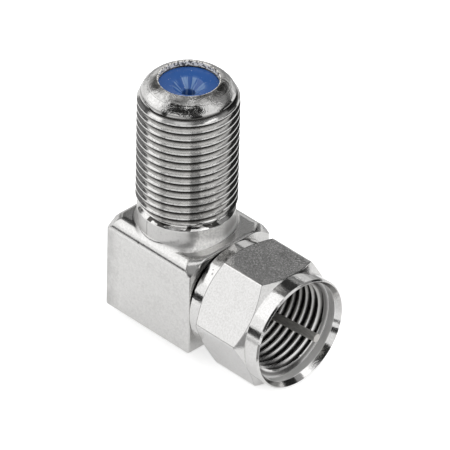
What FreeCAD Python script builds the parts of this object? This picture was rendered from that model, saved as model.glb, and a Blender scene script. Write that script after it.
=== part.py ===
import FreeCAD, Part

import math
import os

# Right-angle coaxial adapter: a threaded jack barrel on a square elbow block, and a plug
# with a captive coupling nut and a centre pin at its side. Lengths are in millimetres.
# The origin is the centre of the plug's mating face, on the plug's axis. +X points out of
# the plug, +Z points out of the jack barrel, and Y = 0 is the plane that holds both axes.

# Thread of the series, left plain here: 3/8 inch with 32 turns to the inch
thread_major_radius = 4.70
thread_depth = 0.49
nut_thread_clearance = 0.14

# Elbow block, measured from the barrel's axis and the plug's axis
barrel_setback = 7.90
block_behind_barrel = 5.17
block_ahead_of_barrel = 5.75
block_half_width = 5.15
block_above_plug = 5.15
block_below_plug = 4.70
side_edge_round = 1.30
rear_edge_round = 0.70
front_edge_round = 0.30
small_edge_round = 0.25
corner_fall_inset = 1.80
corner_fall_round = 1.45
corner_fall_slope = 50.0

# Neck and jack barrel, heights above the plug's axis
neck_radius = 4.55
neck_foot_round = 0.40
neck_top = 6.85
neck_chamfer = 0.25
thread_bottom = 7.25
thread_top = 19.40
thread_lead = 0.65
thread_end_step = 0.09
nose_wall = 0.73
nose_corner_height = 19.75
nose_round = 0.55
barrel_top = 20.80
lip_opening_radius = 2.80
lip_edge_round = 0.12
lip_thickness = 0.80

# Bores of the body
front_seat_radius = 3.50
front_seat_depth = 2.10
contact_bore_radius = 3.30
contact_bore_ledge = 6.50
elbow_bore_radius = 2.90
elbow_bore_depth = 2.20

# Ferrule
shank_radius = 3.50
shank_depth = 2.55
flange_radius = 4.15
flange_thickness = 0.95
flange_edge_chamfer = 0.12
ferrule_bore_radius = 2.60

# Coupling nut
nut_gap_to_block = 0.11
nut_end_play = 0.10
nut_lip_clearance = 0.08
rear_collar_radius = 5.30
rear_collar_length = 1.44
hex_across_flats = 11.00
hex_turn = 33.3
hex_length = 5.98
hex_edge_round = 0.25
hex_chamfer_slope = 0.64
front_collar_radius = 5.50
front_collar_length = 1.70
nut_rim_chamfer = 0.15
nut_relief_wall = 0.45
nut_relief_length = 1.20
counterbore_radius = 4.98
counterbore_depth = 1.35
counterbore_lead = 0.30

# Centre pin, which stands a little off the axis at its tip
pin_radius = 0.40
pin_tail = 1.40
pin_reach = 8.80
pin_drift_side = 0.36
pin_drift_up = 0.33

# Socket contact
contact_mouth_gap = 0.35
socket_radius = 0.95
socket_length = 4.75
socket_bore_radius = 0.50
socket_bore_depth = 4.20
socket_mouth_chamfer = 0.20
tine_slot_width = 0.25
tine_slot_depth = 3.60
contact_rod_radius = 1.00
contact_shoulder_radius = 1.60
fork_reach = 1.30

# Insulator sleeve of the barrel and blue front insulator
barrel_insulator_length = 5.50
funnel_radius = 1.48
funnel_depth = 0.76
entry_radius = 0.61
dish_depth = 0.17

X_AXIS = FreeCAD.Vector(1, 0, 0)
Y_AXIS = FreeCAD.Vector(0, 1, 0)
Z_AXIS = FreeCAD.Vector(0, 0, 1)

# Places along the plug's axis
barrel_x = -barrel_setback
block_rear_x = barrel_x - block_behind_barrel
block_face_x = barrel_x + block_ahead_of_barrel
shank_end_x = block_face_x - shank_depth
flange_rear_x = -flange_thickness
nut_rear_x = block_face_x + nut_gap_to_block
nut_lip_front_x = flange_rear_x - nut_end_play
hex_rear_x = nut_rear_x + rear_collar_length
hex_front_x = hex_rear_x + hex_length
nut_front_x = hex_front_x + front_collar_length
pin_end_x = barrel_x - pin_tail

# Heights along the barrel's axis
lip_bottom = barrel_top - lip_thickness
front_seat_bottom = lip_bottom - front_seat_depth
contact_top = front_seat_bottom - contact_mouth_gap
contact_shoulder_top = contact_top - socket_length
barrel_insulator_top = contact_bore_ledge + barrel_insulator_length

# Radii that follow from the front seat, the thread, the rear collar and the hexagon
nose_radius = front_seat_radius + nose_wall
thread_end_radius = nose_radius + thread_end_step
thread_root_radius = thread_major_radius - thread_depth
nut_bore_radius = thread_root_radius + nut_thread_clearance
nut_relief_radius = rear_collar_radius - nut_relief_wall
hex_half_width = hex_across_flats / 2
hex_corner_radius = hex_half_width / math.cos(math.pi / 6)


def closed_face(corners):
    """Flat face inside a chain of corners, each a point with the radius that rounds it."""
    starts = []
    ends = []
    edges = []
    for index, (corner, radius) in enumerate(corners):
        before = (corners[index - 1][0] - corner).normalize()
        after = (corners[(index + 1) % len(corners)][0] - corner).normalize()
        half_angle = before.getAngle(after) / 2
        setback = radius / math.tan(half_angle)
        starts.append(corner + before * setback)
        ends.append(corner + after * setback)
        if radius > 0:
            inward = (before + after).normalize()
            middle = corner + inward * (radius / math.sin(half_angle) - radius)
            edges.append(Part.Arc(starts[-1], middle, ends[-1]).toShape())
    for index, end in enumerate(ends):
        start = starts[(index + 1) % len(starts)]
        edges.append(Part.makeLine(end, start))
    return Part.Face(Part.Wire(Part.__sortEdges__(edges)))


def turned_on_barrel(section):
    """Solid turned about the barrel's axis from (radius, height, corner radius) rows."""
    corners = [(FreeCAD.Vector(barrel_x + r, 0, z), corner) for r, z, corner in section]
    return closed_face(corners).revolve(FreeCAD.Vector(barrel_x, 0, 0), Z_AXIS, 360)


def turned_on_plug(section):
    """Solid turned about the plug's axis from (place along X, radius, corner radius) rows."""
    corners = [(FreeCAD.Vector(x, 0, r), corner) for x, r, corner in section]
    return closed_face(corners).revolve(FreeCAD.Vector(0, 0, 0), X_AXIS, 360)


def barrel_bar(radius, bottom, top):
    """Round bar on the barrel's axis."""
    return Part.makeCylinder(radius, top - bottom, FreeCAD.Vector(barrel_x, 0, bottom), Z_AXIS)


def plug_bar(radius, rear, front):
    """Round bar on the plug's axis."""
    return Part.makeCylinder(radius, front - rear, FreeCAD.Vector(rear, 0, 0), X_AXIS)


def make_block():
    """Square block: three prisms with rounded corners, one along each axis, intersected."""
    bottom = -block_below_plug
    top = block_above_plug
    side = block_half_width
    length = block_face_x - block_rear_x

    end_view = closed_face([
        (FreeCAD.Vector(block_rear_x, -side, bottom), small_edge_round),
        (FreeCAD.Vector(block_rear_x, side, bottom), small_edge_round),
        (FreeCAD.Vector(block_rear_x, side, top), side_edge_round),
        (FreeCAD.Vector(block_rear_x, -side, top), side_edge_round),
    ])
    side_view = closed_face([
        (FreeCAD.Vector(block_rear_x, -side, bottom), small_edge_round),
        (FreeCAD.Vector(block_face_x, -side, bottom), small_edge_round),
        (FreeCAD.Vector(block_face_x, -side, top), front_edge_round),
        (FreeCAD.Vector(block_rear_x, -side, top), rear_edge_round),
    ])
    plan_view = closed_face([
        (FreeCAD.Vector(block_rear_x, -side, bottom), small_edge_round),
        (FreeCAD.Vector(block_face_x, -side, bottom), small_edge_round),
        (FreeCAD.Vector(block_face_x, side, bottom), small_edge_round),
        (FreeCAD.Vector(block_rear_x, side, bottom), small_edge_round),
    ])
    block = end_view.extrude(X_AXIS * length)
    block = block.common(side_view.extrude(Y_AXIS * (2 * side)))
    block = block.common(plan_view.extrude(Z_AXIS * (top - bottom)))
    return block.common(make_corner_fall())


def make_corner_fall():
    """Blunt cone on the block's middle, under which its four top corners fall away."""
    middle_x = (block_rear_x + block_face_x) / 2
    half_diagonal = math.hypot(block_face_x - middle_x, block_half_width)
    slope = math.radians(corner_fall_slope)
    start = half_diagonal - corner_fall_inset
    shoulder = start + corner_fall_round * math.tan(slope / 2)
    bottom = -block_below_plug
    height = block_above_plug - bottom
    corners = [
        (FreeCAD.Vector(middle_x, 0, bottom), 0),
        (FreeCAD.Vector(middle_x + shoulder + height / math.tan(slope), 0, bottom), 0),
        (FreeCAD.Vector(middle_x + shoulder, 0, block_above_plug), corner_fall_round),
        (FreeCAD.Vector(middle_x, 0, block_above_plug), 0),
    ]
    return closed_face(corners).revolve(FreeCAD.Vector(middle_x, 0, 0), Z_AXIS, 360)


def make_barrel():
    """Neck, thread blank and nose with its rolled lip, as one bar that is bored later."""
    return turned_on_barrel([
        (0, 0, 0),
        (neck_radius, 0, 0),
        (neck_radius, neck_top, 0),
        (thread_root_radius, neck_top + neck_chamfer, 0),
        (thread_root_radius, thread_bottom, 0),
        (thread_major_radius, thread_bottom + thread_depth, 0),
        (thread_major_radius, thread_top - thread_lead, 0),
        (thread_end_radius, thread_top, 0),
        (nose_radius, thread_top, 0),
        (nose_radius, nose_corner_height, nose_round),
        (lip_opening_radius, barrel_top, lip_edge_round),
        (lip_opening_radius, lip_bottom, 0),
        (0, lip_bottom, 0),
    ])


def on_neck_foot(edge):
    """True for an edge where the neck stands on the block."""
    for vertex in edge.Vertexes:
        away = math.hypot(vertex.Point.x - barrel_x, vertex.Point.y)
        low = block_above_plug - side_edge_round
        if abs(away - neck_radius) > 1e-4 or not low < vertex.Point.z < block_above_plug + 1e-4:
            return False
    return True


def make_body():
    """Elbow body: block and barrel as one casting, with its bores."""
    body = make_block().fuse(make_barrel()).removeSplitter()
    foot = [edge for edge in body.Edges if on_neck_foot(edge)]
    body = body.makeFillet(neck_foot_round, foot)
    body = body.cut([
        barrel_bar(front_seat_radius, front_seat_bottom, lip_bottom),
        barrel_bar(contact_bore_radius, contact_bore_ledge, front_seat_bottom),
        barrel_bar(elbow_bore_radius, -elbow_bore_depth, contact_bore_ledge),
        plug_bar(ferrule_bore_radius, barrel_x, shank_end_x),
        plug_bar(shank_radius, shank_end_x, block_face_x),
    ])
    return body.removeSplitter()


def make_ferrule():
    """Flanged sleeve pressed into the block, whose flange traps the nut."""
    return turned_on_plug([
        (shank_end_x, ferrule_bore_radius, 0),
        (shank_end_x, shank_radius, 0),
        (flange_rear_x, shank_radius, 0),
        (flange_rear_x, flange_radius - flange_edge_chamfer, 0),
        (flange_rear_x + flange_edge_chamfer, flange_radius, 0),
        (-flange_edge_chamfer, flange_radius, 0),
        (0, flange_radius - flange_edge_chamfer, 0),
        (0, ferrule_bore_radius, 0),
    ])


def make_ferrule_insulator():
    """Plastic sleeve that holds the pin in the ferrule, flush with the mating face."""
    sleeve = plug_bar(ferrule_bore_radius, shank_end_x, 0)
    return sleeve.cut(plug_bar(pin_radius, shank_end_x, 0))


def make_hexagon():
    """Hexagonal part of the nut, with the ends of its flats turned to a cone."""
    corners = []
    for side in range(6):
        angle = math.radians(hex_turn + 30 + 60 * side)
        across = -hex_corner_radius * math.cos(angle)
        up = hex_corner_radius * math.sin(angle)
        corners.append((FreeCAD.Vector(nut_rear_x, across, up), hex_edge_round))
    prism = closed_face(corners).extrude(X_AXIS * (nut_front_x - nut_rear_x))

    def chamfer_length(radius):
        return hex_chamfer_slope * (radius - hex_half_width)

    turned = turned_on_plug([
        (hex_rear_x + chamfer_length(rear_collar_radius), 0, 0),
        (hex_rear_x + chamfer_length(rear_collar_radius), rear_collar_radius, 0),
        (hex_rear_x + chamfer_length(hex_corner_radius), hex_corner_radius, 0),
        (hex_front_x - chamfer_length(hex_corner_radius), hex_corner_radius, 0),
        (hex_front_x - chamfer_length(front_collar_radius), front_collar_radius, 0),
        (hex_front_x - chamfer_length(front_collar_radius), 0, 0),
    ])
    return prism.common(turned)


def make_coupling_nut():
    """Coupling nut: hexagon between two collars, bored for the thread and the ferrule."""
    rear_collar = turned_on_plug([
        (nut_rear_x, 0, 0),
        (nut_rear_x, rear_collar_radius - nut_rim_chamfer, 0),
        (nut_rear_x + nut_rim_chamfer, rear_collar_radius, 0),
        (hex_rear_x + rear_collar_length, rear_collar_radius, 0),
        (hex_rear_x + rear_collar_length, 0, 0),
    ])
    front_collar = turned_on_plug([
        (hex_front_x - front_collar_length, 0, 0),
        (hex_front_x - front_collar_length, front_collar_radius, 0),
        (nut_front_x - nut_rim_chamfer, front_collar_radius, 0),
        (nut_front_x, front_collar_radius - nut_rim_chamfer, 0),
        (nut_front_x, 0, 0),
    ])
    bore = turned_on_plug([
        (nut_rear_x, 0, 0),
        (nut_rear_x, shank_radius + nut_lip_clearance, 0),
        (nut_lip_front_x, shank_radius + nut_lip_clearance, 0),
        (nut_lip_front_x, nut_relief_radius, 0),
        (nut_lip_front_x + nut_relief_length, nut_relief_radius, 0),
        (nut_lip_front_x + nut_relief_length, nut_bore_radius, 0),
        (nut_front_x - counterbore_depth - counterbore_lead, nut_bore_radius, 0),
        (nut_front_x - counterbore_depth, counterbore_radius, 0),
        (nut_front_x, counterbore_radius, 0),
        (nut_front_x, 0, 0),
    ])
    return make_hexagon().fuse([rear_collar, front_collar]).cut(bore).removeSplitter()


def make_centre_pin():
    """Solid wire pin: straight inside the adapter, its free end drifting off the axis."""
    root = FreeCAD.Vector(0, 0, 0)
    tip = FreeCAD.Vector(pin_reach, pin_drift_side, pin_drift_up)
    inner = plug_bar(pin_radius, pin_end_x, 0)
    bend = Part.makeSphere(pin_radius, root)
    outer = Part.makeCylinder(pin_radius, tip.Length, root, tip)
    return inner.fuse([bend, outer]).removeSplitter()


def make_socket_contact():
    """Sprung socket with four tines, a shoulder, and a rod whose forked tail takes the pin."""
    contact = turned_on_barrel([
        (0, -fork_reach, 0),
        (contact_rod_radius, -fork_reach, 0),
        (contact_rod_radius, barrel_insulator_top, 0),
        (contact_shoulder_radius, barrel_insulator_top, 0),
        (contact_shoulder_radius, contact_shoulder_top, 0),
        (socket_radius, contact_shoulder_top, 0),
        (socket_radius, contact_top, 0),
        (socket_bore_radius + socket_mouth_chamfer, contact_top, 0),
        (socket_bore_radius, contact_top - socket_mouth_chamfer, 0),
        (socket_bore_radius, contact_top - socket_bore_depth, 0),
        (0, contact_top - socket_bore_depth, 0),
    ])
    slot_bottom = contact_top - tine_slot_depth
    slot = Part.makeBox(
        2 * socket_radius, tine_slot_width, tine_slot_depth,
        FreeCAD.Vector(barrel_x - socket_radius, -tine_slot_width / 2, slot_bottom),
    )
    crossing_slot = slot.copy()
    crossing_slot.rotate(FreeCAD.Vector(barrel_x, 0, 0), Z_AXIS, 90)
    fork = Part.makeBox(
        2 * contact_rod_radius, 2 * pin_radius, fork_reach,
        FreeCAD.Vector(barrel_x - contact_rod_radius, -pin_radius, -fork_reach),
    )
    seat = plug_bar(pin_radius, barrel_x - contact_rod_radius, barrel_x + contact_rod_radius)
    return contact.cut([slot, crossing_slot, fork, seat])


def make_barrel_insulator():
    """Plastic sleeve on the ledge of the barrel's bore, round the contact's rod."""
    sleeve = barrel_bar(contact_bore_radius, contact_bore_ledge, barrel_insulator_top)
    return sleeve.cut(barrel_bar(contact_rod_radius, contact_bore_ledge, barrel_insulator_top))


def make_front_insulator():
    """Blue plastic disc under the rolled lip, with a funnel down to the contact."""
    funnel_top = lip_bottom - dish_depth
    return turned_on_barrel([
        (entry_radius, front_seat_bottom, 0),
        (front_seat_radius, front_seat_bottom, 0),
        (front_seat_radius, lip_bottom, 0),
        (lip_opening_radius, lip_bottom, 0),
        (funnel_radius, funnel_top, 0),
        (entry_radius, funnel_top - funnel_depth, 0),
    ])


parts = {
    "body": make_body(),
    "coupling_nut": make_coupling_nut(),
    "ferrule": make_ferrule(),
    "centre_pin": make_centre_pin(),
    "ferrule_insulator": make_ferrule_insulator(),
    "socket_contact": make_socket_contact(),
    "barrel_insulator": make_barrel_insulator(),
    "front_insulator": make_front_insulator(),
}

os.makedirs("parts", exist_ok=True)
for name, shape in parts.items():
    shape.exportStep(f"parts/{name}.step")
    print(f"{name}: {len(shape.Solids)} solid, valid {shape.isValid()}, {shape.Volume:.2f} mm3")
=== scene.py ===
import math

import bpy
import numpy as np
from mathutils import Matrix, Vector, noise


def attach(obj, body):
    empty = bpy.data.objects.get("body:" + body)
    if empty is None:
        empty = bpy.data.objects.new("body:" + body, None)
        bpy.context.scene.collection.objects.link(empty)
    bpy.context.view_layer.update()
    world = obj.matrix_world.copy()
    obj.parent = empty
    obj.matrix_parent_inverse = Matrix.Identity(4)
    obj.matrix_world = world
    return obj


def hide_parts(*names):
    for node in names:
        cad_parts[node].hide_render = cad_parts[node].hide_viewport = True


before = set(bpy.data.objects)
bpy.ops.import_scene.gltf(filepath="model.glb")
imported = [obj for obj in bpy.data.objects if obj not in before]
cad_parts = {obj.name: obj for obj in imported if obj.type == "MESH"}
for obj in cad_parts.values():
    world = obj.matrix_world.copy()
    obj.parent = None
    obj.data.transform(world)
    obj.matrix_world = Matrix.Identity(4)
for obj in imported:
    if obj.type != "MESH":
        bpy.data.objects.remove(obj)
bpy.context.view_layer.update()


# Elbow body
# A zinc casting, square block and round neck in one, with a faint parting line up its
# middle. Its barrel is turned and threaded, its mouth is rolled over by hammering, and
# the whole is nickel plated. Everything else is fixed in it or hangs on it.

mm = 0.001
barrel_x = -7.90
block_behind = 5.17
block_ahead = 5.75
block_side = 5.15
block_bottom = -4.70
block_top = 5.15
upright_edge_round = 0.25
bottom_edge_round = 0.25
top_rear_round = 0.70
top_front_round = 0.30
top_side_round = 1.30
corner_fall_inset = 1.80
corner_fall_round = 1.45
corner_fall_slope = math.radians(50.0)

neck_radius = 4.55
foot_round = 0.40
web_round = 0.85
web_turn = math.radians(315)
web_width = math.radians(28)
neck_top = 6.85
neck_chamfer = 0.25
parting_line_height = 0.03
parting_line_width = 0.09
parting_line_turn = math.radians(263.7)

thread_pitch = 25.4 / 32
thread_radius = 4.70
thread_depth = 0.49
thread_bottom = 7.25
thread_top = 19.40
thread_lead = 0.65
thread_end_radius = 4.32
thread_crest_share = 0.085
thread_root = thread_radius - thread_depth
hair = 1e-6

nose_radius = 4.23
nose_corner = 19.75
lip_top = 20.69
lip_opening = 2.80
lip_bottom = 20.00
lip_round = 0.10
hammer_depth = 0.03

front_seat_radius = 3.50
front_seat_bottom = 17.90
contact_bore_radius = 3.30
contact_bore_ledge = 6.50
elbow_bore_radius = 2.90
elbow_bore_bottom = -2.20
ferrule_bore_radius = 2.60
shank_radius = 3.50
shank_end_x = -4.70
block_face_x = barrel_x + block_ahead


def turned_profile(corners, arc_steps=8):
    """Points along a turned outline of (radius, height, rounding) corners."""
    points = []
    for index, (radius, height, rounding) in enumerate(corners):
        corner = np.array((radius, height), float)
        if not rounding:
            points.append(corner)
            continue
        before = np.array(corners[index - 1][:2]) - corner
        after = np.array(corners[index + 1][:2]) - corner
        before /= np.linalg.norm(before)
        after /= np.linalg.norm(after)
        half = math.acos(np.clip(before @ after, -1, 1)) / 2
        middle = (before + after) / np.linalg.norm(before + after)
        centre = corner + middle * rounding / math.sin(half)
        start = corner + before * rounding / math.tan(half) - centre
        end = corner + after * rounding / math.tan(half) - centre
        turn = math.pi - 2 * half
        for step in range(arc_steps + 1):
            share = step / arc_steps
            blend = math.sin((1 - share) * turn) * start + math.sin(share * turn) * end
            points.append(centre + blend / math.sin(turn))
    return points


def finely(points, longest):
    """The same outline with its long runs divided."""
    fine = [points[0]]
    for start, end in zip(points, points[1:]):
        count = max(1, math.ceil(np.linalg.norm(end - start) / longest))
        fine += [start + (end - start) * k / count for k in range(1, count + 1)]
    return fine


def metal_piece(name, points, faces, sharp_degrees=38):
    """Object from points in millimetres, smooth but for its sharp edges."""
    shape = bpy.data.meshes.new(name)
    shape.from_pydata([tuple(p) for p in np.asarray(points) * mm], [], faces)
    shape.validate()
    shape.shade_smooth()
    shape.set_sharp_from_angle(angle=math.radians(sharp_degrees))
    piece = bpy.data.objects.new(name, shape)
    bpy.context.scene.collection.objects.link(piece)
    return piece


def cut_piece(piece, cutter, operation="DIFFERENCE", sharp_degrees=38):
    """Cuts a piece with another one, which is thrown away after."""
    cut = piece.modifiers.new("cut", "BOOLEAN")
    cut.object = cutter
    cut.operation = operation
    cut.solver = "EXACT"
    bpy.context.view_layer.update()
    shape = bpy.data.meshes.new_from_object(
        piece.evaluated_get(bpy.context.evaluated_depsgraph_get()))
    piece.modifiers.clear()
    piece.data = shape
    shape.shade_smooth()
    shape.set_sharp_from_angle(angle=math.radians(sharp_degrees))
    bpy.data.objects.remove(cutter)


def band(low, high):
    """Faces between two rings of point numbers."""
    count = len(low)
    return [(low[k], low[(k + 1) % count], high[(k + 1) % count], high[k])
            for k in range(count)]


def ring_round_plug(points, x, radius, turns):
    """Adds a ring of points round the plug's axis and gives their numbers."""
    ring = range(len(points), len(points) + len(turns))
    points += [(x, radius * math.cos(turn), radius * math.sin(turn)) for turn in turns]
    return ring


def round_bar(name, start, end, radius, sides=96):
    """Plain bar along the plug's axis, used to bore the other pieces."""
    turns = [2 * math.pi * k / sides for k in range(sides)]
    points = []
    low = ring_round_plug(points, start, radius, turns)
    high = ring_round_plug(points, end, radius, turns)
    return metal_piece(name, points, [tuple(reversed(low)), tuple(high)] + band(low, high))


def thread_rows(start, end, pitch, crest_share):
    """Places along one thread's pitch, as shares of it, from root to root."""
    flank = 0.5 - 2 * crest_share
    rise = [crest_share + flank * k / 4 for k in range(5)]
    phases = [0.0] + rise + [0.5] + [1 - p for p in reversed(rise)]
    turns = math.ceil((end - start) / pitch) + 2
    places = [k - 1 + phase for k in range(turns) for phase in phases]
    return len(phases), np.array(places) * pitch


def thread_height(phase, crest_share):
    """Height of the thread over its root, from 0 to 1, for a share of the pitch."""
    from_crest = np.abs(phase - np.floor(phase) - 0.5)
    return np.clip((0.5 - crest_share - from_crest) / (0.5 - 2 * crest_share), 0, 1)


def thread_column(points, first, levels, places):
    """Point numbers along one ray of a thread, with one point for all rows at either end."""
    column = [first]
    for before, level, place in zip(levels, levels[1:], places[1:]):
        if level <= levels[0] + hair:
            column.append(first)
        elif before > levels[-1] - hair:
            column.append(column[-1])
        else:
            column.append(len(points))
            points.append(place)
    return column


def thread_skin(columns, rows_per_pitch):
    """Faces between a thread's columns, the last of which meets the first a pitch on."""
    faces = []
    last_row = len(columns[0]) - 1
    for k, column in enumerate(columns):
        after = columns[(k + 1) % len(columns)]
        skip = rows_per_pitch if k == len(columns) - 1 else 0
        for row in range(last_row):
            low = after[min(row + skip, last_row)]
            high = after[min(row + skip + 1, last_row)]
            corners = []
            for corner in (column[row], low, high, column[row + 1]):
                if corner not in corners:
                    corners.append(corner)
            if len(corners) > 2:
                faces.append(tuple(corners))
    return faces


def block_outline(turns, inset):
    """Distance from the barrel's axis to the block's sides, moved in by inset."""
    rounding = max(upright_edge_round - inset, 0)
    distances = []
    for turn in turns:
        across = np.array((math.cos(turn), math.sin(turn)))
        ahead = block_ahead if across[0] > 0 else block_behind
        half = np.array((ahead - inset, block_side - inset))
        reach = np.abs(across)
        distance = min(half / np.maximum(reach, 1e-9))
        centre = half - rounding
        if rounding and min(distance * reach - centre) > 0:
            along = reach @ centre
            distance = along + math.sqrt(along**2 - centre @ centre + rounding**2)
        distances.append(distance)
    return np.array(distances)


def block_height(x, y):
    """Height of the block's top over a point given from the barrel's axis."""
    height = np.full(np.shape(x), block_top)
    for gap, rounding in (
        (x + block_behind, top_rear_round),
        (block_ahead - x, top_front_round),
        (block_side - y, top_side_round),
        (block_side + y, top_side_round),
    ):
        inside = rounding - np.clip(gap, 0, rounding)
        height = np.minimum(height, block_top - rounding + np.sqrt(rounding**2 - inside**2))
    middle = (block_ahead - block_behind) / 2
    start = math.hypot(block_ahead - middle, block_side) - corner_fall_inset
    out = np.maximum(np.hypot(x - middle, y) - start, 0)
    bend = corner_fall_round * math.sin(corner_fall_slope)
    bent = np.sqrt(corner_fall_round**2 - np.minimum(out, bend) ** 2)
    straight = np.maximum(out - bend, 0) * math.tan(corner_fall_slope)
    return np.minimum(height, block_top - corner_fall_round + bent - straight)


# Rays out of the barrel's axis, in tenths of a degree, closer together where they meet the
# block's corners
full_turn = 3600
ray_step = 20
corner_step = 6
corner_reach = 48
rays = set(range(0, full_turn, ray_step))
for ahead in (block_ahead, -block_behind):
    for side in (block_side, -block_side):
        corner = round(math.degrees(math.atan2(side, ahead)) * 10) % full_turn
        rays |= {corner + step for step in range(-corner_reach, corner_reach + 1, corner_step)}
rays = sorted(rays)
rays = [ray for k, ray in enumerate(rays) if k == 0 or ray - rays[k - 1] > 1]
turns = np.radians(np.array(rays) / 10)
ray_count = len(turns)
outline = block_outline(turns, 0)

# Underside, its rounded edge and the walls
body_rings = []
for share in (0.35, 0.7, 1.0):
    inner = block_outline(turns, bottom_edge_round)
    body_rings.append((inner * share, np.full(ray_count, block_bottom)))
for step in range(1, 7):
    quarter = math.radians(15 * step)
    inner = block_outline(turns, bottom_edge_round * (1 - math.sin(quarter)))
    level = block_bottom + bottom_edge_round * (1 - math.cos(quarter))
    body_rings.append((inner, np.full(ray_count, level)))
wall_top = block_height(outline * np.cos(turns), outline * np.sin(turns))
wall_bottom = block_bottom + bottom_edge_round
for share in np.linspace(0, 1, 15)[1:]:
    body_rings.append((outline, wall_bottom + (wall_top - wall_bottom) * share))

# Ball that rolls round the foot of the neck, bigger towards the block's front corner, and
# where it touches the block's top
ball = foot_round + web_round * np.exp(-(((turns - web_turn) / web_width) ** 2))
ball_x = neck_radius + ball
ball_height = np.zeros(ray_count)
touch = np.zeros(ray_count)
for k, turn in enumerate(turns):
    reach = np.linspace(neck_radius, ball_x[k], 200)
    top = block_height(reach * math.cos(turn), reach * math.sin(turn))
    centre = top + np.sqrt(np.maximum(ball[k] ** 2 - (reach - ball_x[k]) ** 2, 0))
    best = np.argmax(centre)
    ball_height[k] = centre[best]
    touch[k] = reach[best]
for share in np.linspace(0, 1, 25)[1:]:
    reach = outline - (outline - touch) * share**1.5
    body_rings.append((reach, block_height(reach * np.cos(turns), reach * np.sin(turns))))
start_angle = np.arccos(np.clip((ball_x - touch) / ball, -1, 1))
for share in np.linspace(0, 1, 13)[1:]:
    angle = start_angle * (1 - share)
    body_rings.append((ball_x - ball * np.cos(angle), ball_height - ball * np.sin(angle)))

# Neck up to the thread's first groove
seam = np.exp(-(((turns - parting_line_turn) * neck_radius / parting_line_width) ** 2))
for share in np.linspace(0, 1, 9)[1:]:
    level = ball_height + (neck_top - ball_height) * share
    body_rings.append((neck_radius + parting_line_height * seam * min(1, 4 * (1 - share)), level))
for level in (neck_top + neck_chamfer, thread_bottom):
    body_rings.append((np.full(ray_count, thread_root), np.full(ray_count, level)))

points = [(barrel_x, 0, block_bottom)]
faces = []
previous = []
for radius, level in body_rings:
    ring = range(len(points), len(points) + ray_count)
    points += list(zip(barrel_x + radius * np.cos(turns), radius * np.sin(turns), level))
    if previous:
        faces += band(previous, ring)
    else:
        faces += [(0, ring[(k + 1) % ray_count], ring[k]) for k in range(ray_count)]
    previous = ring

# Thread: its rows climb one pitch for each turn round the barrel
rows_per_pitch, places = thread_rows(thread_bottom, thread_top, thread_pitch, thread_crest_share)
lead_slope = (thread_radius - thread_end_radius) / thread_lead
columns = []
for k, turn in enumerate(turns):
    levels = thread_bottom + places + thread_pitch * turn / (2 * math.pi)
    levels = np.clip(levels, thread_bottom, thread_top)
    phase = (levels - thread_bottom) / thread_pitch - turn / (2 * math.pi)
    radius = thread_root + thread_depth * thread_height(phase, thread_crest_share)
    radius = np.minimum(radius, thread_root + (levels - thread_bottom))
    radius = np.minimum(radius, thread_end_radius + lead_slope * (thread_top - levels))
    ray = [(barrel_x + out * math.cos(turn), out * math.sin(turn), level)
           for level, out in zip(levels, radius)]
    columns.append(thread_column(points, previous[k], levels, ray))
faces += thread_skin(columns, rows_per_pitch)
previous = [column[-1] for column in columns]

# Nose, rolled lip and the bores down the middle
nose = turned_profile([
    (thread_end_radius, thread_top, 0),
    (nose_radius, thread_top + 0.03, 0),
    (nose_radius, nose_corner - 0.12, 0.15),
    (nose_radius - 0.38, nose_corner + 0.31, 2.4),
    (nose_radius - 0.93, nose_corner + 0.73, 2.4),
    (lip_opening + 0.06, lip_top, lip_round),
    (lip_opening, lip_top - 0.12, 0.05),
    (lip_opening, lip_bottom, 0),
    (front_seat_radius, lip_bottom, 0),
    (front_seat_radius, front_seat_bottom, 0),
    (contact_bore_radius, front_seat_bottom, 0),
    (contact_bore_radius, contact_bore_ledge, 0),
    (elbow_bore_radius, contact_bore_ledge, 0),
    (elbow_bore_radius, elbow_bore_bottom, 0),
])
lip_inside = lip_bottom + 0.1
fine_nose = [p for p in finely(nose, 0.09) if p[1] > lip_inside]
coarse_nose = [p for p in nose if p[1] <= lip_inside and p[0] < nose_radius - 0.01]
for radius, level in fine_nose[1:] + coarse_nose:
    ring = range(len(points), len(points) + ray_count)
    hammered = level > nose_corner - 0.2 and radius > lip_opening + 0.05
    for turn in turns:
        place = Vector((radius * math.cos(turn), radius * math.sin(turn), level))
        out = radius
        if hammered:
            dent = noise.noise(place * 2.3) + 0.6 * noise.noise(place * 5.1 + Vector((9, 4, 1)))
            fade = min(1, (level - nose_corner + 0.2) / 0.3)
            out -= hammer_depth * fade * max(0, dent + 0.25)
        points.append((barrel_x + out * math.cos(turn), out * math.sin(turn), level))
    faces += band(previous, ring)
    previous = ring
points.append((barrel_x, 0, elbow_bore_bottom))
for k in range(ray_count):
    faces.append((previous[k], previous[(k + 1) % ray_count], len(points) - 1))

elbow = metal_piece("elbow_body", points, faces)
cut_piece(elbow, round_bar("shank_drill", shank_end_x, block_face_x + 1, shank_radius))
cut_piece(elbow, round_bar("pin_drill", barrel_x, shank_end_x + 0.5, ferrule_bore_radius))


def new_finish(name, colour, metallic, roughness):
    """A finish with its shader, which the piece's section adds to."""
    finish = bpy.data.materials.new(name)
    finish.use_nodes = True
    shader = finish.node_tree.nodes["Principled BSDF"]
    shader.inputs["Base Color"].default_value = (*colour, 1)
    shader.inputs["Metallic"].default_value = metallic
    shader.inputs["Roughness"].default_value = roughness
    return finish, shader


def step_of(finish, kind, inputs, output=0, **settings):
    """Adds one step to a finish, joins its inputs and gives one output, or all with None."""
    tree = finish.node_tree
    added = tree.nodes.new("ShaderNode" + kind)
    for field, value in settings.items():
        setattr(added, field, value)
    for socket, value in inputs.items():
        if isinstance(value, bpy.types.NodeSocket):
            tree.links.new(value, added.inputs[socket])
        else:
            added.inputs[socket].default_value = value
    return added.outputs if output is None else added.outputs[output]


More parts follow.
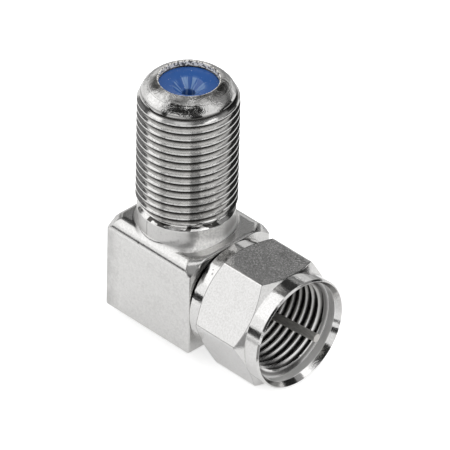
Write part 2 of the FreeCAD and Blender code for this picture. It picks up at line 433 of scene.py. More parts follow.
def sum_of(finish, operation, first, second=0.0, third=0.0):
    """One sum on two or three values of a finish."""
    return step_of(finish, "Math", {0: first, 1: second, 2: third}, operation=operation)


def product_of(finish, first, *others):
    """Product of all the values given."""
    for other in others:
        first = sum_of(finish, "MULTIPLY", first, other)
    return first


def rise_of(finish, value, low, high, start=0.0, end=1.0):
    """Goes smoothly from start to end as value goes from low to high."""
    return step_of(finish, "MapRange", {"Value": value, "From Min": low, "From Max": high,
                                        "To Min": start, "To Max": end},
                   interpolation_type="SMOOTHSTEP")


def rise_along(finish, length, low, high, start=0.0, end=1.0):
    """The same along a length, with low and high in millimetres."""
    return rise_of(finish, length, low * mm, high * mm, start, end)


def zone_of(finish, length, begin, full, full_end, end):
    """One from full to full_end along a length, going to nothing at begin and at end."""
    return product_of(finish, rise_along(finish, length, begin, full),
                      rise_along(finish, length, end, full_end))


def place_on(finish):
    """A point's place on the piece, in metres."""
    return step_of(finish, "TexCoord", {}, "Object")


def axes_of(finish, place):
    """The three coordinates of a place."""
    return step_of(finish, "SeparateXYZ", {"Vector": place}, None)


def reach_of(finish, first, second):
    """Distance from an axis, from the two coordinates across it."""
    return sum_of(finish, "SQRT", sum_of(finish, "ADD", product_of(finish, first, first),
                                         product_of(finish, second, second)))


def grain_of(finish, place, size, detail, roughness=0.5, stretch=None):
    """Cloudy grain whose lumps are about size millimetres across, from 0 to 1."""
    if stretch:
        place = step_of(finish, "VectorMath", {0: place, 1: stretch}, operation="MULTIPLY")
    return step_of(finish, "TexNoise", {"Vector": place, "Scale": 1 / (size * mm),
                                        "Detail": detail, "Roughness": roughness})


def spot_of(finish, place, centre, radius):
    """One at a point of the piece given in millimetres, going to nothing a radius from it."""
    distance = step_of(finish, "VectorMath", {0: place, 1: [c * mm for c in centre]}, "Value",
                       operation="DISTANCE")
    return rise_along(finish, distance, radius, 0.4 * radius)


def mix_of(finish, share, first, second):
    """One colour going over to another; 6, 7 and 2 are the mixer's colour sockets."""
    first, second = (colour if isinstance(colour, bpy.types.NodeSocket) else (*colour, 1)
                     for colour in (first, second))
    return step_of(finish, "Mix", {"Factor": share, 6: first, 7: second}, 2, data_type="RGBA")


def tint_of(finish, colour, tint, *shares):
    """A colour gone over to a tint by the product of the shares."""
    return mix_of(finish, product_of(finish, *shares), colour, tint)


def lead_to(shader, socket, value):
    """Leads a value into a finish's shader."""
    shader.id_data.links.new(value, shader.inputs[socket])


def relief_of(finish, shader, height, depth):
    """Presses a height pattern, depth millimetres deep, into the finish."""
    lead_to(shader, "Normal", step_of(finish, "Bump", {
        "Height": height, "Distance": depth * mm, "Strength": 1.0}))


cast_nickel = (0.64, 0.635, 0.625)
worn_nickel = (0.60, 0.595, 0.585)
bright_nickel = (0.70, 0.695, 0.685)
painted_light_white = (0.95, 0.94, 0.92)
# Dark colour for real pits, nicks and the seam, and for painted shade in roots, folds and the bore
grime_and_painted_shade = (0.07, 0.068, 0.065)
casting, shader = new_finish("nickel_on_casting", cast_nickel, 1.0, 0.15)
place = place_on(casting)
along_x, along_y, along_z = axes_of(casting, place)
from_axis_x = sum_of(casting, "ADD", along_x, -barrel_x * mm)
from_axis = reach_of(casting, from_axis_x, along_y)
clouds = grain_of(casting, place, 1.6, 3.0, 0.6)
specks = grain_of(casting, place, 0.22, 2.0, 0.6)

# Where each zone of the casting is
on_neck = zone_of(casting, along_z, block_top - 0.05, block_top + 0.10,
                  neck_top - 0.15, neck_top + 0.05)
on_chamfer = zone_of(casting, along_z, neck_top - 0.01, neck_top + 0.03,
                     thread_bottom - 0.10, thread_bottom)
on_thread = zone_of(casting, along_z, thread_bottom - 0.05, thread_bottom + 0.05,
                    thread_top - 0.05, thread_top + 0.05)
on_crest = product_of(casting, on_thread, rise_along(casting, from_axis, thread_radius - 0.10,
                                                     thread_radius - 0.04))
in_groove = product_of(casting, on_thread, rise_along(casting, from_axis, thread_radius - 0.18,
                                                      thread_root + 0.03))
on_nose = rise_along(casting, along_z, thread_top - 0.05, thread_top + 0.15)
upper_dome = rise_along(casting, along_z, lip_bottom, lip_bottom + 0.40, 0.0, 0.8)
at_mouth = product_of(
    casting, rise_along(casting, from_axis, lip_opening + 0.15, lip_opening + 0.06),
    rise_along(casting, along_z, lip_bottom, lip_bottom + 0.15))
in_fold = product_of(
    casting, zone_of(casting, from_axis, neck_radius, neck_radius + 0.07,
                     neck_radius + 0.30, neck_radius + 0.45),
    zone_of(casting, along_z, block_top - 0.45, block_top - 0.15,
            block_top + 0.45, block_top + 0.65),
    rise_along(casting, along_x, barrel_x - 0.6, barrel_x - 2.6))
at_far_side = rise_along(casting, along_x, barrel_x - 3.3, barrel_x - 5.1, 0.0, 0.5)
# Right side of the neck, which is painted lighter: painted light
painted_light_side = product_of(
    casting, on_neck, rise_along(casting, along_x, barrel_x + 3.6, barrel_x + 4.15, 0.0, 0.55),
    rise_along(casting, along_y, 1.0, -0.3, 0.15, 1.0))
painted_highlight_at_corner = product_of(casting, spot_of(casting, place, (-2.42, -4.52, 4.55), 0.9), 0.35)
seam_gap = sum_of(casting, "ABSOLUTE", sum_of(
    casting, "SUBTRACT", product_of(casting, from_axis_x, math.sin(parting_line_turn)),
    product_of(casting, along_y, math.cos(parting_line_turn))))
on_seam = product_of(casting, rise_along(casting, seam_gap, 0.06, 0.02, 0.0, 0.7), on_neck,
                     rise_along(casting, along_y, 0.0, -1.0))

# Pits on the block, and dark spots on the neck that are painted shade: centre, radius and how dark
pits_and_painted_shade_spots = (
    ((-8.95, -5.08, 4.27), 0.13, 0.75),
    ((-9.05, -5.05, 4.36), 0.22, 0.30),
    ((-4.15, -2.60, 6.30), 0.75, 0.45),
    ((-3.80, -3.10, 5.50), 0.60, 0.40),
)

chips = rise_of(casting, grain_of(casting, place, 1.1, 2.0, 0.5), 0.53, 0.56)
rim_marks = mix_of(casting, rise_of(casting, specks, 0.49, 0.56), (0.95, 0.92, 0.86),
                   (0.13, 0.125, 0.12))
colour = tint_of(casting, cast_nickel, worn_nickel, rise_of(casting, clouds, 0.35, 0.7))
colour = tint_of(casting, colour, bright_nickel, rise_of(casting, specks, 0.3, 0.7))
colour = tint_of(casting, colour, (0.3, 0.29, 0.28), rise_of(casting, specks, 0.66, 0.74), 0.35)
# Thread roots darkened: painted shade in the grooves
colour = tint_of(casting, colour, grime_and_painted_shade, in_groove, 0.92)
colour = tint_of(casting, colour, (0.17, 0.167, 0.163), upper_dome,
                 rise_of(casting, clouds, 0.3, 0.6))
# Dark fold round the foot of the neck: painted shade in the crease
colour = tint_of(casting, colour, grime_and_painted_shade, in_fold, 0.6)
# The block's far side is darker in cloudy patches: painted shade
colour = tint_of(casting, colour, (0.36, 0.355, 0.35), at_far_side,
                 rise_of(casting, clouds, 0.2, 0.6))
colour = tint_of(casting, colour, grime_and_painted_shade, on_chamfer, chips)
for centre, radius, shade in pits_and_painted_shade_spots:
    colour = tint_of(casting, colour, grime_and_painted_shade, spot_of(casting, place, centre, radius), shade)
colour = tint_of(casting, colour, (0.4, 0.395, 0.39), on_neck,
                 rise_of(casting, specks, 0.45, 0.65, 0.0, 0.35))
# The neck's right side painted near white and made less metallic: painted light
colour = tint_of(casting, colour, painted_light_white, painted_light_side,
                 rise_of(casting, specks, 0.4, 0.6, 0.8, 1.8))
colour = tint_of(casting, colour, grime_and_painted_shade, on_seam)
colour = tint_of(casting, colour, (0.2, 0.2, 0.2), on_crest,
                 rise_of(casting, specks, 0.5, 0.62, 0.0, 0.4))
colour = tint_of(casting, colour, rim_marks, at_mouth)
# Painted highlight on the block's front corner
colour = tint_of(casting, colour, painted_light_white, painted_highlight_at_corner)
lead_to(shader, "Base Color", colour)

plain_share = sum_of(casting, "MAXIMUM", at_mouth, sum_of(casting, "MAXIMUM", painted_light_side, painted_highlight_at_corner))
lead_to(shader, "Metallic", sum_of(casting, "SUBTRACT", 1.0, plain_share))
dullness = rise_along(casting, along_z, block_top - 0.05, block_top + 0.45, 0.2, 0.13)
for zone, level in ((at_mouth, 0.8), (on_neck, 0.45)):
    dullness = sum_of(casting, "MAXIMUM", dullness, product_of(casting, zone, level))
lead_to(shader, "Roughness", dullness)
coarseness = rise_of(casting, on_nose, 0.0, 1.0, 0.5, 2.6)
bumps = sum_of(casting, "MULTIPLY_ADD", specks, coarseness, clouds)
bumps = sum_of(casting, "MULTIPLY_ADD", grain_of(casting, place, 0.11, 1.0),
               product_of(casting, on_nose, 1.4), bumps)
relief_of(casting, shader, bumps, 0.006)
elbow.data.materials.append(casting)
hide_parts("body")
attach(elbow, "elbow")


# Barrel insulator and socket contact
# A white plastic sleeve on the ledge of the barrel's bore holds a bronze socket with four
# sprung tines. Both are turned on a lathe and pushed in from the mouth.

white_plastic, shader = new_finish("white_plastic", (0.80, 0.79, 0.76), 0.0, 0.45)
place = place_on(white_plastic)
shade = grain_of(white_plastic, place, 0.5, 2.0)
lead_to(shader, "Base Color", mix_of(white_plastic, shade, (0.82, 0.81, 0.78), (0.74, 0.73, 0.69)))
relief_of(white_plastic, shader, shade, 0.01)

bronze, shader = new_finish("sprung_bronze", (0.62, 0.44, 0.26), 1.0, 0.3)
place = place_on(bronze)
turning = grain_of(bronze, place, 0.3, 2.0, 0.5, (1.0, 1.0, 8.0))
lead_to(shader, "Base Color", mix_of(bronze, turning, (0.66, 0.47, 0.27), (0.50, 0.35, 0.20)))
relief_of(bronze, shader, turning, 0.006)


def dress(node, finish):
    """Puts a finish on a piece that keeps its shape as it is."""
    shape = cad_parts[node].data
    shape.materials.clear()
    shape.materials.append(finish)


dress("barrel_insulator", white_plastic)
dress("socket_contact", bronze)


# Blue front insulator
# A moulded disc of glossy blue plastic under the rolled lip. A funnel leads down to the
# small hole over the socket; its light radial streaks are painted reflections, and the same pattern
# presses shallow bumps.

funnel_rim = 1.48
funnel_top = 19.83
entry_radius = 0.61
entry_top = 19.07
disc_sides = 160
disc_profile = finely(turned_profile([
    (entry_radius, front_seat_bottom, 0),
    (front_seat_radius, front_seat_bottom, 0),
    (front_seat_radius, lip_bottom, 0),
    (lip_opening - 0.02, lip_bottom, 0),
    (funnel_rim, funnel_top, 0.12),
    (entry_radius, entry_top, 0.10),
    (entry_radius, front_seat_bottom, 0),
]), 0.12)


def turned_piece(name, profile, axis_x, sides, along_plug=False):
    """Object turned from a closed outline about the barrel's axis, or about the plug's."""
    profile = profile[:-1]
    turns = [2 * math.pi * k / sides for k in range(sides)]
    points = []
    rings = []
    for radius, level in profile:
        if along_plug:
            rings.append(ring_round_plug(points, level, radius, turns))
        else:
            rings.append(range(len(points), len(points) + sides))
            points += [(axis_x + radius * math.cos(turn), radius * math.sin(turn), level)
                       for turn in turns]
    faces = []
    for low, high in zip(rings, rings[1:] + rings[:1]):
        faces += band(low, high)
    return metal_piece(name, points, faces)


disc = turned_piece("blue_front_insulator", disc_profile, barrel_x, disc_sides)
blue = (0.03, 0.105, 0.34)
blue_plastic, shader = new_finish("glossy_blue_plastic", blue, 0.0, 0.22)
shader.inputs["Specular IOR Level"].default_value = 0.5
place = place_on(blue_plastic)
along_x, along_y, along_z = axes_of(blue_plastic, place)
from_axis_x = sum_of(blue_plastic, "ADD", along_x, -barrel_x * mm)
turn_round = sum_of(blue_plastic, "ARCTAN2", along_y, from_axis_x)
spokes = step_of(blue_plastic, "CombineXYZ", {
    "X": sum_of(blue_plastic, "COSINE", turn_round),
    "Y": sum_of(blue_plastic, "SINE", turn_round),
    "Z": product_of(blue_plastic, along_z, 120.0)})
radial_streaks = step_of(blue_plastic, "TexNoise", {"Vector": spokes, "Scale": 2.6, "Detail": 3.0,
                                          "Roughness": 0.7})
in_funnel = rise_along(blue_plastic, along_z, funnel_top + 0.05, funnel_top - 0.08)
# Light streaks in the funnel: painted reflections
colour = tint_of(blue_plastic, blue, (0.34, 0.50, 0.72), in_funnel,
                 rise_of(blue_plastic, radial_streaks, 0.48, 0.58), 0.5)
dust = rise_of(blue_plastic, grain_of(blue_plastic, place, 0.13, 1.0), 0.74, 0.78)
colour = tint_of(blue_plastic, colour, (0.7, 0.75, 0.8), dust, 0.6)
lead_to(shader, "Base Color", colour)
relief_of(blue_plastic, shader, radial_streaks, 0.02)
disc.data.materials.append(blue_plastic)
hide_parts("front_insulator")
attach(disc, "elbow")


# Ferrule and its insulator
# A brass sleeve with a flange, turned and nickel plated, pressed into the side bore. Its
# flange traps the nut and is the plug's face, and a white sleeve in it holds the pin.

ferrule_nickel, shader = new_finish("nickel_on_ferrule", (0.72, 0.70, 0.67), 1.0, 0.25)
place = place_on(ferrule_nickel)
turning = grain_of(ferrule_nickel, place, 0.25, 2.0, 0.5, (6.0, 1.0, 1.0))
lead_to(shader, "Roughness", rise_of(ferrule_nickel, turning, 0.3, 0.7, 0.2, 0.34))
relief_of(ferrule_nickel, shader, turning, 0.006)
dress("ferrule", ferrule_nickel)
dress("ferrule_insulator", white_plastic)


# Centre pin
# A plain length of wire, straight in the adapter and leaning a little where it stands
# out of it. Its end is sheared off, so it is bright and uneven.

pin_tip = 8.80
pin_grey, shader = new_finish("dull_pin_wire", (0.4, 0.39, 0.37), 0.75, 0.35)
place = place_on(pin_grey)
along_x = axes_of(pin_grey, place)["X"]
drawn = grain_of(pin_grey, place, 0.18, 3.0, 0.6, (0.25, 1.0, 1.0))
at_cut = rise_along(pin_grey, along_x, pin_tip - 0.12, pin_tip - 0.04)
colour = mix_of(pin_grey, drawn, (0.12, 0.117, 0.113), (0.62, 0.61, 0.58))
lead_to(shader, "Base Color", tint_of(pin_grey, colour, (0.55, 0.535, 0.51), at_cut))
relief_of(pin_grey, shader, drawn, 0.02)
dress("centre_pin", pin_grey)


# Coupling nut
# Turned from hexagonal brass bar with a round collar at each end, threaded inside and
# nickel plated. A thin lip at its back turns freely between the ferrule and the block.

nut_rear = -2.04
rear_collar_radius = 5.30
hex_rear = -0.60
hex_front = 5.38
nut_front = 7.08
hex_half_width = 5.50
hex_corner_radius = hex_half_width / math.cos(math.pi / 6)
hex_blank_radius = hex_corner_radius + 0.05
hex_turn = 33.3
hex_edge_round = 0.25
hex_chamfer_slope = 0.64
front_collar_radius = 5.49
rim_chamfer = 0.15
nut_lip_radius = 3.58
nut_lip_front = -1.05
relief_radius = 4.85
relief_front = 0.15
nut_bore_radius = 4.35
nut_thread_radius = 4.76
nut_crest_share = 0.08
bore_cone_rear = 5.43
counterbore_rear = 5.73
counterbore_radius = 4.98
mouth_bevel_depth = 0.60
mouth_radius = 5.31
bar_core = 0.5
nut_sides = 240


def hex_cone(radius):
    """How far the hexagon's end cone has come forward where it has this radius."""
    return hex_chamfer_slope * (radius - hex_half_width)


# Blank with its collars and end cones, as it comes off the lathe
nut_outline = finely(turned_profile([
    (bar_core, nut_rear, 0),
    (rear_collar_radius - rim_chamfer, nut_rear, 0),
    (rear_collar_radius, nut_rear + rim_chamfer, 0),
    (rear_collar_radius, hex_rear + hex_cone(rear_collar_radius), 0),
    (hex_blank_radius, hex_rear + hex_cone(hex_blank_radius), 0),
    (hex_blank_radius, hex_front - hex_cone(hex_blank_radius), 0),
    (front_collar_radius, hex_front - hex_cone(front_collar_radius), 0),
    (front_collar_radius, nut_front - rim_chamfer, 0),
    (front_collar_radius - rim_chamfer, nut_front, 0),
    (bar_core, nut_front, 0),
    (bar_core, nut_rear, 0),
]), 1.2)
nut = turned_piece("hex_coupling_nut", nut_outline, 0, nut_sides, along_plug=True)

# Hexagonal bar with rounded edges, which keeps only the flats of the blank
hexagon = []
centre_radius = hex_corner_radius - hex_edge_round / math.cos(math.pi / 6)
for side in range(6):
    corner_turn = math.radians(180 - hex_turn - 30 - 60 * side)
    for step in range(-4, 5):
        turn = corner_turn - math.radians(7.5 * step)
        hexagon.append((centre_radius * math.cos(corner_turn) + hex_edge_round * math.cos(turn),
                        centre_radius * math.sin(corner_turn) + hex_edge_round * math.sin(turn)))
points = [(x, y, z) for x in (nut_rear - 1, nut_front + 1) for y, z in hexagon]
count = len(hexagon)
faces = [tuple(range(count)), tuple(range(2 * count - 1, count - 1, -1))]
faces += [(k, count + k, count + (k + 1) % count, (k + 1) % count) for k in range(count)]
cut_piece(nut, metal_piece("hex_bar", points, faces), "INTERSECT", 20)

# Tap for the bore: plain rings at both ends and climbing rows for the thread between
tap_turns = np.radians(np.arange(0, 360, 2.25))
points = []
faces = []
previous = []
for x, radius in ((nut_rear - 0.5, nut_lip_radius), (nut_lip_front, nut_lip_radius),
                  (nut_lip_front, relief_radius), (relief_front, relief_radius),
                  (relief_front, nut_bore_radius)):
    ring = ring_round_plug(points, x, radius, tap_turns)
    faces += band(previous, ring) if previous else [tuple(reversed(ring))]
    previous = ring
rows_per_pitch, places = thread_rows(relief_front, counterbore_rear, thread_pitch, nut_crest_share)
cone = (counterbore_radius - nut_bore_radius) / (counterbore_rear - bore_cone_rear)
columns = []
for k, turn in enumerate(tap_turns):
    levels = relief_front + places + thread_pitch * turn / (2 * math.pi)
    levels = np.clip(levels, relief_front, counterbore_rear)
    phase = (levels - relief_front) / thread_pitch - turn / (2 * math.pi)
    height = thread_height(phase, nut_crest_share)
    radius = nut_bore_radius + (nut_thread_radius - nut_bore_radius) * height
    radius = np.maximum(radius, counterbore_radius - cone * (counterbore_rear - levels))
    ray = [(level, out * math.cos(turn), out * math.sin(turn))
           for level, out in zip(levels, radius)]
    columns.append(thread_column(points, previous[k], levels, ray))
faces += thread_skin(columns, rows_per_pitch)
previous = [column[-1] for column in columns]
for x, radius in ((nut_front - mouth_bevel_depth, counterbore_radius),
                  (nut_front + mouth_bevel_depth, 2 * mouth_radius - counterbore_radius)):
    ring = ring_round_plug(points, x, radius, tap_turns)
    faces += band(previous, ring)
    previous = ring
faces.append(tuple(ring))
cut_piece(nut, metal_piece("tap", points, faces), "DIFFERENCE", 28)

turned_nickel = (0.68, 0.675, 0.665)
painted_light_counterbore = (0.95, 0.945, 0.935)
nut_nickel, shader = new_finish("nickel_on_nut", turned_nickel, 1.0, 0.2)
place = place_on(nut_nickel)
along_x, along_y, along_z = axes_of(nut_nickel, place)
out_from_axis = reach_of(nut_nickel, along_y, along_z)
turning = grain_of(nut_nickel, place, 0.3, 2.0, 0.5, (9.0, 1.0, 1.0))
clouds = grain_of(nut_nickel, place, 1.4, 3.0, 0.6)
specks = grain_of(nut_nickel, place, 0.17, 1.0, 0.6)

# Where each zone of the nut is; the top flat is the one with grit on it
top_turn = math.radians(hex_turn + 60)
over_top = sum_of(nut_nickel, "MULTIPLY_ADD", along_z, math.sin(top_turn),
                  product_of(nut_nickel, along_y, -math.cos(top_turn)))
top_begin = hex_half_width - 0.07
top_full = hex_half_width - 0.03
on_top = rise_along(nut_nickel, over_top, top_begin, top_full, 0.0, 0.7)
in_bore = rise_along(nut_nickel, out_from_axis, counterbore_radius + 0.04,
                     counterbore_radius + 0.01)
in_counterbore = product_of(nut_nickel, in_bore, rise_along(
    nut_nickel, along_x, counterbore_rear - 0.13, counterbore_rear + 0.07))
in_thread = sum_of(nut_nickel, "SUBTRACT", in_bore, in_counterbore)
in_root = rise_along(nut_nickel, out_from_axis, nut_bore_radius + 0.10, nut_bore_radius + 0.27)
low_side = rise_along(nut_nickel, along_z, -0.5, -3.5)
far_in = product_of(nut_nickel, in_thread, rise_along(nut_nickel, along_x, 4.5, 0.5, 0.0, 0.85),
                    rise_of(nut_nickel, low_side, 0.0, 1.0, 1.0, 0.4))

# Nicks on the rear collar: centre and radius
collar_nicks = (
    ((-1.25, -3.04, 4.34), 0.10),
    ((-1.05, -3.34, 4.12), 0.13),
)

colour = mix_of(nut_nickel, clouds, turned_nickel, worn_nickel)
colour = tint_of(nut_nickel, colour, (0.73, 0.725, 0.72), rise_of(nut_nickel, specks, 0.25, 0.8))
for centre, radius in collar_nicks:
    colour = tint_of(nut_nickel, colour, grime_and_painted_shade,
                     spot_of(nut_nickel, place, centre, radius), 0.6)
colour = tint_of(nut_nickel, colour, (0.95, 0.94, 0.93), on_top,
                 rise_of(nut_nickel, specks, 0.52, 0.66))
# Counterbore painted near white and made less metallic: painted light
colour = tint_of(nut_nickel, colour, painted_light_counterbore, in_counterbore)
# The bore's thread is painted lighter on its low side: painted light
thread_painted_lighter_below = mix_of(nut_nickel, low_side, (0.48, 0.475, 0.465), (0.85, 0.845, 0.835))
colour = tint_of(nut_nickel, colour, thread_painted_lighter_below, in_thread)
# Painted shade in the bore thread's roots and deeper in the bore, less on its low side
colour = tint_of(nut_nickel, colour, grime_and_painted_shade, in_thread, in_root, 0.85)
colour = tint_of(nut_nickel, colour, grime_and_painted_shade, far_in)

# Thin dark line where the flats end against the turned cones
outside = rise_along(nut_nickel, out_from_axis, hex_half_width - 0.15, hex_half_width - 0.05)
for end, side in ((hex_front, 1), (hex_rear, -1)):
    cone_end = sum_of(nut_nickel, "MULTIPLY_ADD", out_from_axis, -side * hex_chamfer_slope,
                      (end + side * hex_chamfer_slope * hex_half_width) * mm)
    gap = product_of(nut_nickel, sum_of(nut_nickel, "SUBTRACT", cone_end, along_x), side)
    colour = tint_of(nut_nickel, colour, grime_and_painted_shade, outside,
                     zone_of(nut_nickel, gap, 0.01, 0.02, 0.06, 0.09), 0.7)
lead_to(shader, "Base Color", colour)
lead_to(shader, "Metallic", rise_of(nut_nickel, in_counterbore, 0.0, 1.0, 1.0, 0.4))
dullness = sum_of(nut_nickel, "MAXIMUM", rise_of(nut_nickel, clouds, 0.3, 0.7, 0.08, 0.15),
                  product_of(nut_nickel, in_thread, 0.24))
lead_to(shader, "Roughness", dullness)
coarseness = rise_along(nut_nickel, over_top, top_begin, top_full, 0.5, 1.2)
bumps = sum_of(nut_nickel, "ADD", product_of(nut_nickel, turning, 0.12),
               product_of(nut_nickel, specks, coarseness))
relief_of(nut_nickel, shader, bumps, 0.007)
nut.data.materials.clear()
nut.data.materials.append(nut_nickel)
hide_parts("coupling_nut")
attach(nut, "nut")


# Studio
# A pale floor that keeps a soft shadow, a white surround, soft lamps at a plain level, and
# dark and light sheets round the object, which only the metal's reflections see.

scene = bpy.context.scene
scene.view_settings.view_transform = "Standard"

floor_z = -5.70
floor_side = 4.0
card_gap = 0.1
floor_shape = bpy.data.meshes.new("floor")
floor_shape.from_pydata([(x * floor_side, y * floor_side, floor_z * mm) for x, y in (
    (-0.5, -0.5), (0.5, -0.5), (0.5, 0.5), (-0.5, 0.5))], [], [(0, 1, 2, 3)])
floor = bpy.data.objects.new("floor", floor_shape)
scene.collection.objects.link(floor)
floor_paint, shader = new_finish("floor_paint", (0.8, 0.8, 0.8), 0.0, 0.9)
shader.inputs["Specular IOR Level"].default_value = 0.0
shader.inputs["Emission Color"].default_value = (1, 1, 1, 1)
paths = step_of(floor_paint, "LightPath", {}, None)
seen_glow = product_of(floor_paint, paths["Is Camera Ray"], 0.6)
lead_to(shader, "Emission Strength",
        sum_of(floor_paint, "MULTIPLY_ADD", paths["Is Glossy Ray"], 0.30, seen_glow))
floor_shape.materials.append(floor_paint)

surround = bpy.data.worlds.new("surround")
surround.use_nodes = True
scene.world = surround
background = surround.node_tree.nodes["Background"]
background.inputs["Color"].default_value = (1, 1, 1, 1)
paths = step_of(surround, "LightPath", {}, None)
seen = sum_of(surround, "MAXIMUM", paths["Is Camera Ray"], paths["Is Glossy Ray"])
seen = sum_of(surround, "MAXIMUM", seen, paths["Is Transmission Ray"])
lead_to(background, "Strength",
        step_of(surround, "MapRange", {"Value": seen, "To Min": 0.55, "To Max": 1.0}))


def reflected_sheet(name, corners, shade):
    """Plain sheet of one shade, its corners in metres, which only reflections see."""
    shape = bpy.data.meshes.new(name)
    shape.from_pydata(corners, [], [(0, 1, 2, 3)])
    sheet = bpy.data.objects.new(name, shape)
    scene.collection.objects.link(sheet)
    paint = bpy.data.materials.new(name)
    paint.use_nodes = True
    paint.node_tree.nodes.clear()
    glow = step_of(paint, "Emission", {"Color": (1, 1, 1, 1), "Strength": shade})
    step_of(paint, "OutputMaterial", {"Surface": glow}, None)
    shape.materials.append(paint)
    sheet.visible_camera = False
    sheet.visible_diffuse = False
    sheet.visible_shadow = False
    sheet.visible_transmission = False


def flag(name, low, high, left, right, shade, reach=0.5):
    """Sheet along the plug's axis between two angles round it, measured from +Y up."""
    corners = []
    for angle, x in ((low, left), (high, left), (high, right), (low, right)):
        swing = math.radians(angle)
        corners.append((x, reach * math.cos(swing), reach * math.sin(swing)))
    reflected_sheet(name, corners, shade)


def ceiling(name, left, right, front, back, shade, height=0.42):
    """Level sheet overhead, its sides given as parts of its height."""
    corners = [(left, front), (right, front), (right, back), (left, back)]
    reflected_sheet(name, [(x * height, y * height, height) for x, y in corners], shade)


def upright_sheet(name, start, end, bottom, top, shade):
    """Sheet that stands on the line from start to end."""
    reflected_sheet(name, [(*start, bottom), (*end, bottom), (*end, top), (*start, top)], shade)


def card_on_floor(name, left, right, front, back, shade):
    """Level sheet just over the floor."""
    height = (floor_z + card_gap) * mm
    corners = [(left, front), (right, front), (right, back), (left, back)]
    reflected_sheet(name, [(x, y, height) for x, y in corners], shade)


def card_round_barrel(name, near, far, first, last, shade):
    """Level sheet just over the floor, between two distances and angles from the barrel."""
    height = (floor_z + card_gap) * mm
    corners = []
    for reach, angle in ((near, first), (far, first), (far, last), (near, last)):
        swing = math.radians(angle)
        corners.append((barrel_x * mm + reach * math.cos(swing), reach * math.sin(swing), height))
    reflected_sheet(name, corners, shade)


flag("low_side_flag", -8, 12, -0.62, -0.25, 0.5)
flag("light_side_flag", 12, 35, -0.62, -0.25, 0.75)
flag("grey_flag_behind", 35, 42, -0.62, -0.12, 0.17)
flag("lighter_flag_behind", 42, 49, -0.62, -0.12, 0.36)
flag("dark_flag_behind", 49, 72, -0.62, -0.12, 0.035)
flag("grey_streak_above", 72, 84, -0.62, -0.12, 0.1)
flag("dark_flag_above", 84, 102, -0.62, -0.12, 0.06)
flag("black_flag_behind", 24, 51, -0.12, 0.12, 0.02)
flag("grey_flag_far_behind", 10, 24, -0.16, 0.12, 0.22)
flag("grey_flag_at_right", 24, 51, 0.12, 0.4, 0.3)
flag("dark_flag_at_right", -0.5, 24, 0.12, 1.3, 0.03)
flag("dark_flag_far_right", 24, 34, 0.4, 1.3, 0.03)
flag("grey_flag_above", 51, 67, -0.12, 0.4, 0.35)
flag("edge_of_sheet_in_front", 102, 108, -1.0, -0.26, 0.65)
flag("bright_sheet_in_front", 108, 148, -1.0, -0.26, 1.45)
flag("low_sheet_in_front", 148, 171, -1.0, -0.26, 1.2)
flag("dark_strip_in_front", 171, 180.5, -1.2, 0.3, 0.03)
ceiling("bright_ceiling_at_left", -0.95, -0.50, -0.42, 0.0, 1.4)
ceiling("grey_ceiling", -0.42, -0.23, -0.42, 0.0, 0.45)
ceiling("light_streak_overhead", -0.23, -0.04, -0.45, 0.0, 0.85)
ceiling("grey_streak_overhead", -0.04, 0.03, -0.45, 0.0, 0.55)
ceiling("dark_streak_overhead", 0.03, 0.14, -0.45, 0.0, 0.25)
ceiling("dark_patch_overhead", -0.12, 0.19, 0.0, 0.6, 0.16)
ceiling("bright_patch_overhead", 0.19, 0.6, 0.08, 0.42, 1.6)
ceiling("bright_patch_in_front", 0.14, 0.42, -0.45, 0.08, 1.2)
ceiling("black_ceiling_in_front", 0.42, 1.3, -1.5, 0.0, 0.02)
ceiling("black_ceiling_at_left", -0.28, 0.42, -1.6, -0.45, 0.02)
upright_sheet("grey_sheet_at_left", (-0.6, -0.12), (-0.6, 0.25), 0.2, 0.48, 0.22)
upright_sheet("dark_sheet_by_camera", (0.489, -0.104), (0.383, -0.321), 0.03, 0.42, 0.04)
upright_sheet("dark_sheet_far_left", (-0.03, -0.47), (-0.15, -0.47), 0.06, 0.42, 0.03)
upright_sheet("dark_sheet_left_of_camera", (0.383, -0.321), (-0.03, -0.47), 0.26, 0.42, 0.03)
card_on_floor("far_dark_card", -0.6, 0.3, -0.6, -0.1, 0.1)
card_on_floor("near_dark_card", -0.09, -0.02, -0.1, -0.075, 0.1)
card_on_floor("grey_card_behind", -0.3, -0.014, 0.036, 0.5, 0.38)
card_round_barrel("dark_card_at_neck", 0.017, 0.024, -41, -27, 0.12)
card_round_barrel("grey_card_at_barrel", 0.024, 0.042, -38, -16, 0.36)
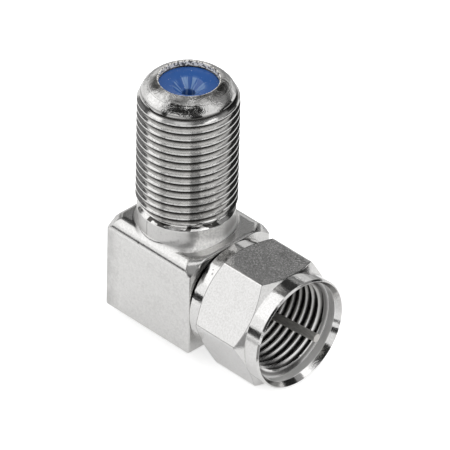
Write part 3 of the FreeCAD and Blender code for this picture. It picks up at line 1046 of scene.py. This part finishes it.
card_round_barrel("light_card_in_front", 0.024, 0.042, -84, -58, 0.95)
card_round_barrel("grey_card_in_front", 0.024, 0.042, -104, -91, 0.62)
card_round_barrel("bright_card_at_left", 0.024, 0.042, -140, -111, 1.2)

object_middle = Vector((-0.004, 0, 0.005))
lamp_side = 0.4
lamp_power = 0.9
for name, place in (("lamp_left", (-0.35, -0.45, 0.35)), ("lamp_right", (0.55, -0.05, 0.40)),
                    ("lamp_top", (0.0, 0.1, 0.6))):
    light = bpy.data.lights.new(name, "AREA")
    light.shape = "SQUARE"
    light.size = lamp_side
    light.energy = lamp_power
    lamp = bpy.data.objects.new(name, light)
    lamp.location = place
    lamp.rotation_euler = (object_middle - Vector(place)).to_track_quat("-Z", "Y").to_euler()
    lamp.visible_glossy = False
    scene.collection.objects.link(lamp)

# Camera, turned, lifted and rolled as the one that took the photograph
photo_pixels = 450
focal_pixels = 8000
sensor_width = 36
pixels_per_mm = 10.894
turn = math.radians(44.80)
lift = math.radians(35.485)
roll = math.radians(1.307)
aim_u = 185.364
aim_v = 263.836
back = Vector((math.sin(turn) * math.cos(lift), -math.cos(turn) * math.cos(lift), math.sin(lift)))
right = Vector((math.cos(turn), math.sin(turn), 0))
up = back.cross(right)
rolled_right = right * math.cos(roll) + up * math.sin(roll)
rolled_up = up * math.cos(roll) - right * math.sin(roll)
away = focal_pixels / pixels_per_mm
shift_right = (aim_u - photo_pixels / 2) / pixels_per_mm
shift_up = -(aim_v - photo_pixels / 2) / pixels_per_mm
eye = back * away - rolled_right * shift_right - rolled_up * shift_up
eye.x += barrel_x
lens = bpy.data.cameras.new("camera")
lens.sensor_width = sensor_width
lens.lens = sensor_width * focal_pixels / photo_pixels
camera = bpy.data.objects.new("camera", lens)
camera.matrix_world = Matrix((
    (rolled_right.x, rolled_up.x, back.x, eye.x * mm),
    (rolled_right.y, rolled_up.y, back.y, eye.y * mm),
    (rolled_right.z, rolled_up.z, back.z, eye.z * mm),
    (0, 0, 0, 1),
))
scene.collection.objects.link(camera)
scene.camera = camera
